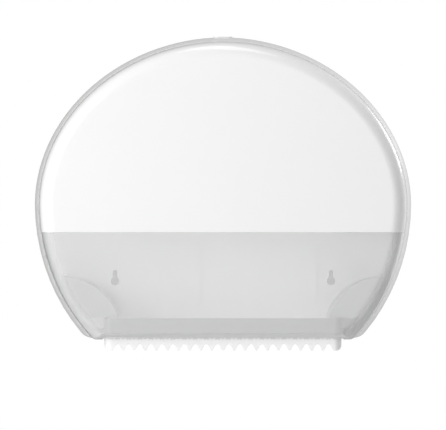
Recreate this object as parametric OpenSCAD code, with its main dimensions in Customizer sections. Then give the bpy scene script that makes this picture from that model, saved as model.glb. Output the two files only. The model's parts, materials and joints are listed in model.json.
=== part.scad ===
// Jumbo toilet roll dispenser for the wall, with a hinged cover.
// Origin: on the wall plane, in the middle of the screw pattern, level with the widest line.
// +Z is up, the front faces -Y. Sizes are millimetres.
// Most pieces are drawn in wall coordinates: X across, Y up, Z out from the wall.

/* [Body outline] */
// Overall width at the widest line
body_w = 437; // [420:1:460]
// Height of the casing above the widest line
crown_h = 193.5; // [186:0.1:200]
// Fullness of the upper curve, where 2 is an ellipse
top_curve = 1.957; // [1.9:0.001:2.1]
// Upright half-axis of the ellipse below the widest line
lower_r = 227; // [218:0.5:240]
// Height of the casing below the widest line
base_drop = 154.8; // [150:0.2:158]
// Radius of the two bottom corners
corner_r = 16; // [12:0.5:26]
// Overall depth from the wall
body_d = 133; // [128:1:150]

/* [Back plate] */
// Thickness of the rear wall
plate_t = 3; // [2.5:0.1:4]
// Depth of the rim that stands out round the rear wall
rim_d = 50; // [44:1:56]
// Wall of the rim
rim_t = 2.8; // [2.2:0.1:3.2]
// How far the rim draws in from the wall to its front edge
rim_taper = 5.6; // [3:0.1:6]
// Depth of the locating lip in front of the rim
lip_d = 3; // [2:0.5:5]
// Wall of the locating lip
lip_t = 1.5; // [1.2:0.1:2]
// Height of the raised panels
panel_h = 2.5; // [1.5:0.1:4]
// Distance of the panels from the middle
panel_x = 26; // [20:1:40]
// Gap between a panel and the middle of the keyhole beside it
panel_side = 16.4; // [14:0.2:24]
// Height of each raised panel
panel_tall = 74.4; // [60:0.2:80]
// Height of a panel's top edge below the widest line
panel_drop = 44.2; // [38:0.2:50]
// Corner radius of the panels
panel_r = 10; // [6:1:14]

/* [Wall screws] */
// Distance of the screw holes from the widest points at their side
screw_side = 93.1; // [90:0.1:98]
// Distance between the screw holes, upright
screw_tall = 158; // [146:1:170]
// Radius of the upper screw holes
screw_hole_r = 2.75; // [2.25:0.05:3]
// Radius of a keyhole's round entry
key_entry_r = 4.9; // [4.5:0.1:5.5]
// Width of a keyhole's slot
key_slot_w = 4.9; // [4.5:0.1:5]
// Distance from the slot's end down to the entry's middle
key_drop = 10.5; // [9:0.5:13]

/* [Cover] */
// Wall of the cover
cover_t = 2.8; // [2:0.1:3]
// Step from the rim in to the cover
cover_step = 0.2; // [0.1:0.1:0.6]
// How far the cover draws in between its rear edge and the front rounding
cover_taper = 6.4; // [3:0.1:7]
// Radius of the rounding round the front
edge_r = 14; // [8:0.5:15]
// Height of that rounding along the flat bottom
low_edge = 8.5; // [6:0.5:12]
// How far the front face bulges
crown = 2.2; // [1:0.1:4]
// Height of the window's top edge below the widest line
split_drop = 32.4; // [24:0.2:36]
// Gap between rim and cover
seam = 0.3; // [0.2:0.1:1]
// Depth of the lip that hangs in front of the tear bar, from the front
front_lip = 13.5; // [13:0.1:14]

/* [Tear bar] */
// Width of the flat bottom left on each side of the tear bar
bar_side = 17.2; // [15:0.1:22]
// Distance from the front face of the bar to the cover's front
bar_back = 18; // [17.5:0.1:20]
// Wall of the bar
bar_t = 2.2; // [1.8:0.1:2.6]
// Height of the bar's top edge below the widest line
bar_top_drop = 130.4; // [129:0.2:134]
// Height of the bar, from its top edge down to the tooth tips
bar_tall = 36.9; // [35:0.1:38]
// Radius of the bar's corners seen from above
bar_corner_r = 9; // [6:0.5:14]
// Radius of the bar's lower corners seen from the front
ear_r = 6; // [3:0.5:8]
// Number of arches between the teeth
arches = 20; // [14:1:20]
// Width of the plain end on each side of the arches
bar_end_w = 8.8; // [8:0.1:14]
// Height of the arches
tooth_h = 7.2; // [5:0.1:8]
// Radius of an arch's top
arch_r = 2.6; // [2:0.1:3]
// Width of a tooth's tip
tip_w = 1.5; // [0.8:0.1:2]
// Thickness of the sharpened edge
edge_t = 0.8; // [0.6:0.1:1.2]

/* [Paper guides] */
// Radius of the guides
guide_r = 64; // [55:1:67]
// Distance of a guide's centre from the widest point at its side
guide_side = 37; // [32:0.5:40]
// Height of a guide's centre below the widest line
guide_drop = 148; // [144:1:150]
// Wall of the guides
guide_t = 3; // [2:0.1:4]
// Distance of the guides from the outline
guide_in = 16.8; // [15.5:0.1:20]

/* [Roll spindle] */
// Distance of the spindle from the widest point on the left
hub_side = 176.5; // [168:0.5:180]
// Height of the spindle above the widest line
hub_z = 31; // [28:1:34]
// Radius that carries the roll's core
hub_r = 29; // [26:0.5:30]
// Wall of the hub
hub_t = 2.4; // [2:0.1:3.5]
// Length of the hub's round part
hub_len = 86; // [70:1:95]
// Radius of the disc behind the roll
hub_disc_r = 46; // [38:1:55]
// Number of ribs in the hub
hub_ribs = 6; // [4:1:10]
// Radius of the fixed axle
axle_r = 9; // [7:0.5:10]
// Running clearance between hub and axle
axle_play = 0.06; // [0.03:0.01:0.1]

/* [Stub roll post] */
// Distance of the post from the widest point on the right
stub_side = 70.5; // [66:0.5:74]
// Height of the post above the widest line
stub_z = -3; // [-8:1:4]
// Radius of the post
stub_r = 22; // [18:0.5:26]
// Length of the post
stub_len = 98; // [80:1:104]

/* [Hinge] */
// Radius of the hinge barrels
barrel_r = 5.2; // [4.6:0.1:5.5]
// Radius of the hinge pins
pin_r = 2.5; // [2:0.1:3]
// Clearance between a pin and its bores
pin_play = 0.05; // [0.03:0.01:0.1]
// Height of the hinge axis above the flat bottom
hinge_up = 6; // [5.8:0.1:6.4]
// Width of a casing barrel
barrel_w = 3.4; // [3:0.1:3.6]
// Width of a cover barrel
lug_w = 6.4; // [5:0.1:6.6]

/* [Lock] */
// Width of the button
button_w = 22; // [18:0.5:24]
// Depth of the button
button_d = 10; // [9:0.5:11]
// Distance of the button's middle from the wall
button_out = 17; // [16:0.5:18]
// How far the button's top stands above the casing's top
button_proud = 0.2; // [0:0.1:1.5]
// Travel of the button
button_travel = 4; // [3.8:0.1:4]
// Gap round the button
button_gap = 0.4; // [0.3:0.1:0.8]
// Width of the cover's catch
catch_w = 15; // [12:0.5:16]
// Wire thickness of the button's spring
spring_wire = 0.8; // [0.6:0.1:1]
// Mean radius of the button's spring
spring_r = 3; // [2.6:0.1:3.2]
// Turns of the button's spring
spring_turns = 6; // [4:1:6]

/* [Hidden] */
$fn = 64;

// Running and seating gaps
play = 0.3;
// Glue line under the pieces bonded inside the cover
glue_t = 0.05;
// Margin by which a cutter passes a face
over = 1;

// Least radius of an inner corner
least_r = 0.8;

// Segments of the outline
top_steps = 60;
side_steps = 9;
corner_steps = 7;
join_steps = 3;
round_steps = 4;
face_scales = [0.75, 0.5, 0.25];

// Outline, and half the width of its flat bottom
half_w = body_w / 2;
side_curve = lower_right(0, 0, 0);
flat_half = side_curve[len(side_curve) - 1].x;

// Cover stations
cover_rear = rim_d + seam;
cover_in = rim_taper + cover_step;
face_in = cover_in + cover_taper + edge_r;
round_z = body_d - crown - edge_r;

// Locating lip
lip_play = 0.5;
lip_in = cover_in + cover_t + lip_play;
lip_root = 6;
lip_low = 100;

// Tear bar
bar_front = body_d - bar_back;
bar_half = flat_half - bar_side;
bar_drop = bar_top_drop + bar_tall;
tooth_pitch = 2 * (bar_half - bar_end_w) / arches;
foot_t = 2.2;
foot_w = 12;
foot_tall = 16;
foot_drop = 4;
bevel_h = 8;
bar_gap = 0.7;

// Back plate
screw_x = half_w - screw_side;
panel_w = screw_x - panel_side - panel_x;
screw_boss_r = 7;
screw_boss_h = 1.5;

// Paper guides
guide_x = half_w - guide_side;
guide_gap = 0.5;
guide_short = 3;
guide_bottom = bar_top_drop - guide_gap;
guide_front = bar_front - guide_short;
guide_web = 2.5;
guide_foot_r = 8;
guide_foot_in = guide_r - guide_foot_r;
guide_foot = [guide_x - guide_foot_in * cos(45), -guide_drop + guide_foot_in * sin(45)];

// Hinge
hinge_y = -base_drop + hinge_up;
hinge_gap = 0.35;
barrel_gap = 1.1;
barrel_x1 = bar_half + barrel_gap;
lug_x1 = barrel_x1 + barrel_w + hinge_gap;
barrel_x2 = lug_x1 + lug_w + hinge_gap;
barrel_end = barrel_x2 + barrel_w;
bracket_d = 10;
lug_notch_d = 7;
pin_short = 0.2;
exit_gap = 2.5;
arm_reach = 8;
arm_t = 3;
block_d = 6;
cover_notch = 7.5;
barrel_room = 0.6;

// Spindle stations, out from the wall
hub_x = hub_side - half_w;
boss_h = 3;
boss_r = 26;
boss_rib_len = 34;
boss_rib_t = 2;
axle_flange_r = 24;
axle_flange_t = 2.5;
axle_flange_out = plate_t + boss_h;
brake_out = axle_flange_out + axle_flange_t;
brake_gap = 3.5;
brake_ring_t = 1.2;
brake_ring_r = 14.5;
hub_out = brake_out + brake_gap + brake_ring_t + play;
hub_disc_t = 2.5;
disc_edge = 1.3;
hub_core_t = 3;
hub_rib_t = 2;
hub_rib_back = 4;
rib_root = 0.5;
nose_len = 6;
nose_taper = 6;
nose_t = 2.4;
spigot_len = 3.5;
spigot_t = 2;
spigot_fit = 0.05;
cap_step = 0.4;
cap_edge = 1.3;
hub_front = hub_out + hub_disc_t + hub_len;
axle_sunk = 6;
axle_front = hub_front - axle_sunk;
washer_t = 1.6;
washer_r = 13;
axle_head_r = 6;
axle_head_h = 3;
axle_screw_r = 2.5;
axle_screw_len = 16;
hex_r = 2.5;
hex_d = 2;
screw_fit = 0.05;
brake_wire = 1;
brake_turns = 1.5;

// Stub roll post
stub_x = half_w - stub_side;
stub_flange_r = 30;
stub_flange_t = 3;
stub_wall = 2.4;
stub_round = 3;

// Lock, heights above the widest line
button_top = crown_h + button_proud;
button_cap_h = 8;
flange_h = 2.5;
flange_top = button_top - button_cap_h + 1;
flange_low = flange_top - flange_h;
flange_half = button_w / 2 + 2;
flange_back = 11.4;
flange_fore = 6;
leg_t = 2;
leg_x = button_w / 2 + 0.5;
leg_d = 6;
leg_drop = 12;
cross_low = flange_low - leg_drop;
cross_high = cross_low + 4;
cross_rear = button_out - 0.5;
cross_t = 3;
barb_front = cross_rear - play;
barb_rear = barb_front - 3;
barb_bite = 3.2;
barb_low = cross_high - barb_bite;
barb_flat = 1;
barb_slope = 2.5;
arm_gap = 0.7;
arm_h = 2.8;
arm_low = cross_high + arm_gap;
arm_high = arm_low + arm_h;
riser_rear = rim_d + lip_d + 1;
riser_d = 6;
press_gap = 0.5;
housing_floor = cross_low - button_travel - press_gap;
housing_t = 2;
housing_half = leg_x + 4.5;
housing_top = flange_low - 1.5;
housing_wing = 9;
housing_depth = 24;
spring_back = 8.5;
spring_out = button_out - spring_back;
seat_pin_r = 1.8;
seat_pin_h = 3.5;
rib_gap = 0.5;
rib_w = 3;
rib_top = flange_low - button_travel - press_gap;

// Plain self-tapping screws
tap_r = 1.5;
tap_head_r = 2.9;
tap_head_h = 2.2;
tap_bite = 2.2;
tap_shoulder = 1.2;
tap_top_r = 2.1;
slot_len = 3.5;
slot_w = 0.6;
slot_d = 0.9;
axle_screw_ring = 18;
stub_screw_ring = 26;

// ---- Outline ----

// Signed height error of a corner arc that touches the lower ellipse at angle t
function corner_error(t, a, c, r, b) =
    b - r - c * sin(t) + r * (sin(t) / c) / norm([cos(t) / a, sin(t) / c]);

// Angle on the lower ellipse where the corner arc takes over, by halving
function corner_angle(a, c, r, b, low = 0, high = 89, left = 26) =
    let (mid = (low + high) / 2)
    left == 0 ? mid :
    corner_error(mid, a, c, r, b) > 0 ? corner_angle(a, c, r, b, mid, high, left - 1) :
    corner_angle(a, c, r, b, low, mid, left - 1);

// Right-hand lower side, from angle t0 down to the flat bottom
function lower_right(d, db, t0) =
    let (a = half_w - d,
         c = lower_r - d,
         r = max(corner_r - d, least_r),
         t1 = corner_angle(a, c, r, base_drop - db),
         out = [cos(t1) / a, -sin(t1) / c],
         centre = [a * cos(t1), -c * sin(t1)] - r * out / norm(out),
         turn = atan2(out.y, out.x))
    concat(
        [for (i = [0:side_steps]) let (t = t0 + (t1 - t0) * i / side_steps) [a * cos(t), -c * sin(t)]],
        [for (i = [1:corner_steps]) let (q = turn - (90 + turn) * i / corner_steps)
            centre + r * [cos(q), sin(q)]]);

function mirrored(points) = [for (p = points) [-p.x, p.y]];
function backwards(points) = [for (i = [len(points) - 1:-1:0]) points[i]];
function without_first(points) = [for (i = [1:len(points) - 1]) points[i]];

// Upper curve, from right to left
function fuller(v) = sign(v) * pow(abs(v), 2 / top_curve);
function upper_half(d) =
    [for (i = [0:top_steps]) let (t = 180 * i / top_steps)
        [(half_w - d) * fuller(cos(t)), (crown_h - d) * fuller(sin(t))]];

// Whole outline, moved in by d at the sides and db at the flat bottom
function outline(d, db) =
    let (right = without_first(lower_right(d, db, 0)))
    concat(upper_half(d), mirrored(right), backwards(right));

// Angle on the lower ellipse of the line between cover and window
function split_angle(d) = asin(split_drop / (lower_r - d));

// The part of the outline above the split line, from right to left
function upper_arc(d) =
    let (t0 = split_angle(d),
         low = [for (i = [0:join_steps - 1]) let (t = t0 * (1 - i / join_steps))
             [(half_w - d) * cos(t), -(lower_r - d) * sin(t)]])
    concat(low, upper_half(d), backwards(mirrored(low)));

// The part of the outline below the split line, from left to right
function lower_arc(d, db) =
    let (right = lower_right(d, db, split_angle(d)))
    concat(mirrored(right), backwards(right));

function cover_arc(upper, d, db) = upper ? upper_arc(d) : lower_arc(d, db);

// ---- Drawing aids ----

// Turns wall coordinates into the part's own frame
module on_wall() rotate([90, 0, 0]) children();

// Extrudes a shape drawn as (across, out) upwards, in wall coordinates
module upright(low, high) translate([0, high, 0]) rotate([90, 0, 0]) linear_extrude(high - low) children();

// Extrudes a shape drawn as (out, up) across, in wall coordinates
module across(x0, x1) translate([x1, 0, 0]) rotate([0, -90, 0]) linear_extrude(x1 - x0) children();

// Both hands of a piece
module both() {
    children();
    mirror([1, 0, 0]) children();
}

// Block between two corners
module block(low, high) translate(low) cube(high - low);

// Straight-sided prism from one outline to another
module tub(d0, db0, out0, d1, db1, out1) {
    ring0 = outline(d0, db0);
    ring1 = outline(d1, db1);
    n = len(ring0);
    points = concat([for (p = ring0) [p.x, p.y, out0]], [for (p = ring1) [p.x, p.y, out1]]);
    sides = [for (i = [0:n - 1]) let (j = (i + 1) % n) each [[i, j + n, j], [i, i + n, j + n]]];
    polyhedron(points, concat(sides, [[for (i = [0:n - 1]) i]], [[for (i = [2 * n - 1:-1:n]) i]]));
}

// Ring of the locating lip
module lip_ring(d0, d1, out0, out1) {
    translate([0, 0, out0]) linear_extrude(out1 - out0) difference() {
        polygon(outline(d0, d0));
        polygon(outline(d1, d1));
        translate([-half_w, -base_drop]) square([body_w, base_drop - lip_low]);
    }
}

// Rectangle with round corners, from its low corner
module round_rect(size, r) {
    translate([r, 0]) square([size.x - 2 * r, size.y]);
    translate([0, r]) square([size.x, size.y - 2 * r]);
    for (x = [r, size.x - r], y = [r, size.y - r]) translate([x, y]) circle(r);
}

// Slot with round ends, about its middle
module stadium(w, d) {
    square([w - d, d], center = true);
    for (side = [-1, 1]) translate([side * (w - d) / 2, 0]) circle(d / 2);
}

// Tube along a helix about Z, closed at both ends
module coil(radius, wire, turns, height) {
    per_turn = 8;
    rings = per_turn * turns;
    sides = 6;
    climb = (height - wire) / turns;
    lean = atan(climb / (2 * PI * radius));
    points = [for (k = [0:rings]) let (a = 360 * k / per_turn)
        each [for (s = [0:sides - 1])
            let (b = 360 * s / sides, out = radius + wire / 2 * cos(b), up = wire / 2 * sin(b))
            [out * cos(a) + up * sin(lean) * sin(a),
             out * sin(a) - up * sin(lean) * cos(a),
             wire / 2 + climb * k / per_turn + up * cos(lean)]]];
    skin = [for (k = [0:rings - 1], s = [0:sides - 1]) let (p = k * sides, t = (s + 1) % sides)
        each [[p + s, p + sides + t, p + t], [p + s, p + sides + s, p + sides + t]]];
    last = rings * sides;
    polyhedron(points, concat(skin, [[for (s = [0:sides - 1]) s]], [[for (s = [sides - 1:-1:0]) last + s]]));
}

// Least gap between the turns of a coil
function coil_gap(wire, turns, height) = (height - wire) / turns - wire;

// ---- Screws ----

// Places of the small screws: across, up, and the face their heads sit on
function ring_places(x, y, r, seat) = [for (a = [90, 210, 330]) [x + r * cos(a), y + r * sin(a), seat]];
function pair_places(x, y, seat) = [for (side = [-1, 1]) [side * x, y, seat]];
bar_screw_x = bar_half - bar_t - foot_w / 2;
bar_screw_y = -bar_top_drop - foot_drop - foot_tall / 2;
housing_screw_x = housing_half + housing_wing / 2;
housing_screw_y = (housing_floor + housing_top) / 2;
TAP_PLACES = concat(
    ring_places(hub_x, hub_z, axle_screw_ring, brake_out),
    ring_places(stub_x, stub_z, stub_screw_ring, plate_t + stub_flange_t),
    pair_places(bar_screw_x, bar_screw_y, plate_t + foot_t),
    pair_places(guide_foot.x, guide_foot.y, plate_t + foot_t),
    pair_places(housing_screw_x, housing_screw_y, plate_t + housing_t));
// Thickness that each screw clamps
TAP_GRIPS = [for (i = [0:len(TAP_PLACES) - 1])
    i < 3 ? axle_flange_t : i < 6 ? stub_flange_t : i < 10 ? foot_t : housing_t];

// Holes for all small screws
module tap_holes() {
    for (i = [0:len(TAP_PLACES) - 1])
        translate([TAP_PLACES[i].x, TAP_PLACES[i].y, TAP_PLACES[i].z - TAP_GRIPS[i] - tap_bite])
            cylinder(r = tap_r + screw_fit, h = TAP_GRIPS[i] + tap_bite + over);
}

module tap_screw(grip) {
    translate([0, 0, -grip - tap_bite + play])
        cylinder(r = tap_r, h = grip + tap_bite - play + tap_head_h / 2);
    difference() {
        rotate_extrude() polygon([[0, 0], [tap_head_r, 0],
            [tap_head_r, tap_shoulder], [tap_top_r, tap_head_h],
            [0, tap_head_h]]);
        for (a = [0, 90]) rotate(a) translate([-slot_len / 2, -slot_w / 2, tap_head_h - slot_d])
            cube([slot_len, slot_w, slot_d + over]);
    }
}

module fixing_screws() {
    color("silver") on_wall()
        for (i = [0:len(TAP_PLACES) - 1]) translate(TAP_PLACES[i]) tap_screw(TAP_GRIPS[i]);
}

// ---- Casing ----

// Keyhole: round entry below, slot running up to the screw's resting place
module keyhole() {
    translate([0, -key_drop]) circle(key_entry_r);
    translate([-key_slot_w / 2, -key_drop]) square([key_slot_w, key_drop]);
    circle(key_slot_w / 2);
}

// Raised panel, and the pocket behind it
module panel(grow, r) {
    translate([panel_x - grow, -panel_drop - panel_tall - grow])
        round_rect([panel_w + 2 * grow, panel_tall + 2 * grow], r);
}

// Two barrels beside the cover's, with the bracket that carries them
module casing_barrels() {
    for (x = [barrel_x1, barrel_x2]) {
        translate([x, hinge_y, rim_d]) rotate([0, 90, 0]) cylinder(r = barrel_r, h = barrel_w);
        block([x, hinge_y - barrel_r + play, rim_d - bracket_d], [x + barrel_w, hinge_y + barrel_r, rim_d]);
    }
}

module plate_solid() {
    difference() {
        tub(0, 0, 0, rim_taper, 0, rim_d);
        tub(rim_t, rim_t, plate_t, rim_taper + rim_t + rim_taper * over / rim_d, rim_t, rim_d + over);
        both() linear_extrude(panel_h) panel(-plate_t, panel_r - plate_t);
        // The bottom is open over the tear bar
        block([-bar_half - bar_gap, -base_drop - over, plate_t],
            [bar_half + bar_gap, -base_drop + rim_t + over, rim_d + over]);
        // Room for the cover's hinge barrels
        both() block([lug_x1 - hinge_gap, -base_drop - over, rim_d - lug_notch_d],
            [barrel_x2, -base_drop + rim_t + over, rim_d + over]);
        upright(crown_h - rim_taper - rim_t - over, crown_h + over)
            translate([0, button_out]) stadium(button_w + 2 * button_gap, button_d + 2 * button_gap);
    }
    lip_ring(lip_root, lip_in + lip_t, rim_d - lip_root, rim_d);
    lip_ring(lip_in, lip_in + lip_t, rim_d - over, rim_d + lip_d);
    both() {
        translate([0, 0, plate_t]) linear_extrude(panel_h) panel(0, panel_r);
        casing_barrels();
        translate([screw_x, screw_tall / 2, 0]) cylinder(r = screw_boss_r, h = plate_t + screw_boss_h);
    }
    translate([hub_x, hub_z, 0]) {
        cylinder(r = boss_r, h = plate_t + boss_h);
        for (i = [0:5]) rotate(60 * i) translate([boss_r - over, -boss_rib_t / 2, plate_t - over])
            cube([boss_rib_len, boss_rib_t, boss_h]);
    }
}

module back_plate() {
    color("white") on_wall() difference() {
        plate_solid();
        both() {
            translate([0, 0, -over]) linear_extrude(plate_t + panel_h + 2 * over)
                translate([screw_x, -screw_tall / 2]) keyhole();
            translate([screw_x, screw_tall / 2, -over])
                cylinder(r = screw_hole_r, h = plate_t + screw_boss_h + 2 * over);
            translate([barrel_x1 - over, hinge_y, rim_d]) rotate([0, 90, 0])
                cylinder(r = pin_r + pin_play, h = barrel_end - barrel_x1 + 2 * over);
        }
        tap_holes();
    }
}

module hinge_pin() {
    translate([barrel_x1 + pin_short, hinge_y, rim_d]) rotate([0, 90, 0])
        cylinder(r = pin_r, h = barrel_end - barrel_x1 - 2 * pin_short);
}
module hinge_pin_left() { color("silver") on_wall() mirror([1, 0, 0]) hinge_pin(); }
module hinge_pin_right() { color("silver") on_wall() hinge_pin(); }

// ---- Tear bar ----

// Plan of the bar's outer face, drawn as (across, out)
function bar_plan(half, front, r) = concat(
    [[-half, plate_t]],
    [for (i = [0:6]) let (a = 180 - 15 * i) [-half + r + r * cos(a), front - r + r * sin(a)]],
    [for (i = [0:6]) let (a = 90 - 15 * i) [half - r + r * cos(a), front - r + r * sin(a)]],
    [[half, plate_t]]);

// One arch between two teeth, from left to right about x = 0 at the tips' level
function arch() =
    let (foot = (tooth_pitch - tip_w) / 2,
         rise = tooth_h - arch_r,
         lean = atan2(rise, foot) + asin(arch_r / norm([foot, rise])),
         start = 90 - lean)
    concat([[-foot, 0]],
        [for (i = [0:6]) let (a = 180 - start - (180 - 2 * start) * i / 6)
            [arch_r * cos(a), rise + arch_r * sin(a)]],
        [[foot, 0]]);

// The bar seen from the front
function bar_face() = concat(
    [[-bar_half, -bar_top_drop]],
    [for (i = [0:5]) let (a = 180 + 18 * i)
        [-bar_half + ear_r + ear_r * cos(a), -bar_drop + ear_r + ear_r * sin(a)]],
    [for (i = [0:arches - 1], p = arch()) [(i - (arches - 1) / 2) * tooth_pitch + p.x, -bar_drop + p.y]],
    [for (i = [0:5]) let (a = 270 + 18 * i)
        [bar_half - ear_r + ear_r * cos(a), -bar_drop + ear_r + ear_r * sin(a)]],
    [[bar_half, -bar_top_drop]]);

module bar_foot() {
    x0 = bar_half - bar_t - foot_w;
    difference() {
        block([x0, -bar_top_drop - foot_drop - foot_tall, plate_t],
            [bar_half - bar_t / 2, -bar_top_drop - foot_drop, plate_t + foot_t]);
        tap_holes();
    }
}

module tear_bar() {
    color("white") on_wall() {
        difference() {
            intersection() {
                upright(-bar_drop, -bar_top_drop) difference() {
                    polygon(bar_plan(bar_half, bar_front, bar_corner_r));
                    translate([0, -over])
                        polygon(bar_plan(bar_half - bar_t, bar_front - bar_t + over, bar_corner_r - bar_t));
                }
                linear_extrude(bar_front) polygon(bar_face());
            }
            across(-tooth_pitch * arches / 2, tooth_pitch * arches / 2) polygon([
                [bar_front - bar_t - over, -bar_drop - over],
                [bar_front - edge_t, -bar_drop - over],
                [bar_front - edge_t, -bar_drop],
                [bar_front - bar_t, -bar_drop + bevel_h],
                [bar_front - bar_t - over, -bar_drop + bevel_h]]);
        }
        both() bar_foot();
    }
}

// ---- Paper guides ----

module guide_shape() {
    intersection() {
        translate([guide_x, -guide_drop]) circle(guide_r, $fn = 128);
        polygon(outline(guide_in, guide_in));
        translate([0, -guide_bottom]) square([half_w, guide_bottom]);
    }
}

module guide() {
    translate([0, 0, plate_t]) linear_extrude(guide_front - plate_t) difference() {
        guide_shape();
        translate([guide_x, -guide_drop]) circle(guide_r - guide_t, $fn = 128);
    }
    translate([0, 0, guide_front - guide_web]) linear_extrude(guide_web) guide_shape();
    difference() {
        translate([0, 0, plate_t]) linear_extrude(foot_t) intersection() {
            guide_shape();
            translate(guide_foot) circle(guide_foot_r);
        }
        tap_holes();
    }
}
module guide_left() { color("gainsboro") on_wall() mirror([1, 0, 0]) guide(); }
module guide_right() { color("gainsboro") on_wall() guide(); }

// ---- Spindle for the roll ----

module at_hub() on_wall() translate([hub_x, hub_z, 0]) children();

module main_axle() {
    color("gray") difference() {
        at_hub() difference() {
            union() {
                translate([0, 0, axle_flange_out]) cylinder(r = axle_flange_r, h = axle_flange_t);
                translate([0, 0, axle_flange_out])
                    cylinder(r = axle_r, h = axle_front - axle_flange_out + play);
            }
            translate([0, 0, axle_front - axle_screw_len])
                cylinder(r = axle_screw_r + screw_fit, h = axle_screw_len + over);
        }
        on_wall() tap_holes();
    }
}

module brake_spring() {
    color("silver") at_hub() translate([0, 0, brake_out])
        coil((axle_r + brake_ring_r) / 2, brake_wire, brake_turns, brake_gap);
}

module brake_ring() {
    color("dimgray") at_hub() translate([0, 0, brake_out + brake_gap]) difference() {
        cylinder(r = brake_ring_r, h = brake_ring_t);
        translate([0, 0, -over]) cylinder(r = axle_r + play, h = brake_ring_t + 2 * over);
    }
}

module main_hub() {
    bore_r = axle_r + axle_play;
    core_r = bore_r + hub_core_t;
    disc_front = hub_out + hub_disc_t;
    color("lightgray") at_hub() {
        rotate_extrude($fn = 96) polygon([
            [bore_r, hub_out],
            [hub_disc_r - disc_edge, hub_out],
            [hub_disc_r, hub_out + disc_edge],
            [hub_disc_r, disc_front],
            [hub_r, disc_front],
            [hub_r, hub_front],
            [hub_r - hub_t, hub_front],
            [hub_r - hub_t, disc_front],
            [core_r, disc_front],
            [core_r, axle_front],
            [bore_r, axle_front]]);
        for (i = [0:hub_ribs - 1]) rotate(360 * (i + 0.5) / hub_ribs)
            translate([core_r - rib_root, -hub_rib_t / 2, disc_front - rib_root])
                cube([hub_r - hub_t - core_r + 2 * rib_root, hub_rib_t,
                    axle_front - hub_rib_back - disc_front + rib_root]);
    }
}

module hub_cap() {
    spigot_r = hub_r - hub_t - spigot_fit;
    color("gray") at_hub() translate([0, 0, hub_front]) rotate_extrude($fn = 96) polygon([
        [0, nose_len],
        [0, nose_len - nose_t],
        [spigot_r - spigot_t - nose_taper / 2, nose_len - nose_t],
        [spigot_r - spigot_t, 0],
        [spigot_r - spigot_t, -spigot_len],
        [spigot_r, -spigot_len],
        [spigot_r, 0],
        [hub_r - cap_step, 0],
        [hub_r - nose_taper, nose_len - cap_edge],
        [hub_r - nose_taper - cap_edge, nose_len]]);
}

module axle_washer() {
    color("silver") at_hub() translate([0, 0, axle_front + play]) difference() {
        cylinder(r = washer_r, h = washer_t);
        translate([0, 0, -over]) cylinder(r = axle_screw_r + screw_fit, h = washer_t + 2 * over);
    }
}

module axle_screw() {
    seat = axle_front + play + washer_t;
    color("silver") at_hub() {
        translate([0, 0, axle_front - axle_screw_len + over])
            cylinder(r = axle_screw_r, h = seat - axle_front + axle_screw_len);
        difference() {
            translate([0, 0, seat]) cylinder(r = axle_head_r, h = axle_head_h);
            translate([0, 0, seat + axle_head_h - hex_d]) cylinder(r = hex_r, h = hex_d + over, $fn = 6);
        }
    }
}

module stub_post() {
    front = plate_t + stub_len;
    color("lightgray") on_wall() difference() {
        translate([stub_x, stub_z, 0]) rotate_extrude($fn = 96) polygon([
            [stub_r - stub_wall, plate_t],
            [stub_flange_r, plate_t],
            [stub_flange_r, plate_t + stub_flange_t],
            [stub_r, plate_t + stub_flange_t],
            [stub_r, front - stub_round],
            [stub_r - stub_round * 0.3, front - stub_round * 0.3],
            [stub_r - stub_round, front],
            [0, front],
            [0, front - stub_wall],
            [stub_r - stub_wall, front - stub_wall]]);
        tap_holes();
    }
}

// ---- Cover ----

// Sections of the cover: side inset, bottom inset, distance from the wall
function round_section(r) =
    [for (i = [0:round_steps]) let (q = 90 * i / round_steps)
        [face_in - r * cos(q), low_edge - (low_edge - edge_r + r) * cos(q), round_z + r * sin(q)]];
outer_sections = concat([[cover_in, 0, cover_rear]], round_section(edge_r));
inner_sections = concat([[cover_in + cover_t, cover_t, cover_rear]], round_section(edge_r - cover_t));

// Arcs of one skin of the cover, out to the front face and in towards its middle
function skin_arcs(upper, sections, wall) = concat(
    [for (s = sections) [for (p = cover_arc(upper, s[0], s[1])) [p.x, p.y, s[2]]]],
    [for (k = face_scales) [for (p = cover_arc(upper, face_in, low_edge))
        [p.x * k, -split_drop + (p.y + split_drop) * k, body_d - crown * k * k - wall]]]);

// One half of the cover, closed along the split line
module cover_half(upper) {
    outer = skin_arcs(upper, outer_sections, 0);
    inner = skin_arcs(upper, inner_sections, cover_t);
    m = len(outer);
    n = len(outer[0]) - 1;
    base = m * (n + 1) + 1;
    tip = base - 1;
    points = concat([for (ring = outer) each ring], [[0, -split_drop, body_d]],
        [for (ring = inner) each ring], [[0, -split_drop, body_d - cover_t]]);
    outside = concat(
        [for (k = [0:m - 2], i = [0:n - 1]) let (a = k * (n + 1) + i, b = a + n + 1)
            each [[a, b + 1, a + 1], [a, b, b + 1]]],
        [for (i = [0:n - 1]) let (a = (m - 1) * (n + 1) + i) [a, tip, a + 1]]);
    inside = [for (f = outside) [f[2] + base, f[1] + base, f[0] + base]];
    rear = [for (i = [0:n - 1]) each [[i, i + 1, i + base], [i + 1, i + 1 + base, i + base]]];
    joint = [for (k = [0:m - 1]) let (
            a = k * (n + 1),
            b = k == m - 1 ? tip : a + n + 1,
            c = a + n,
            d = k == m - 1 ? tip : c + n + 1)
        each [[a, b + base, b], [a, a + base, b + base], [c, d, d + base], [c, d + base, c + base]]];
    polyhedron(points, concat(outside, inside, rear, joint));
}

module cover_shell() {
    color("white") on_wall() cover_half(true);
}

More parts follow.
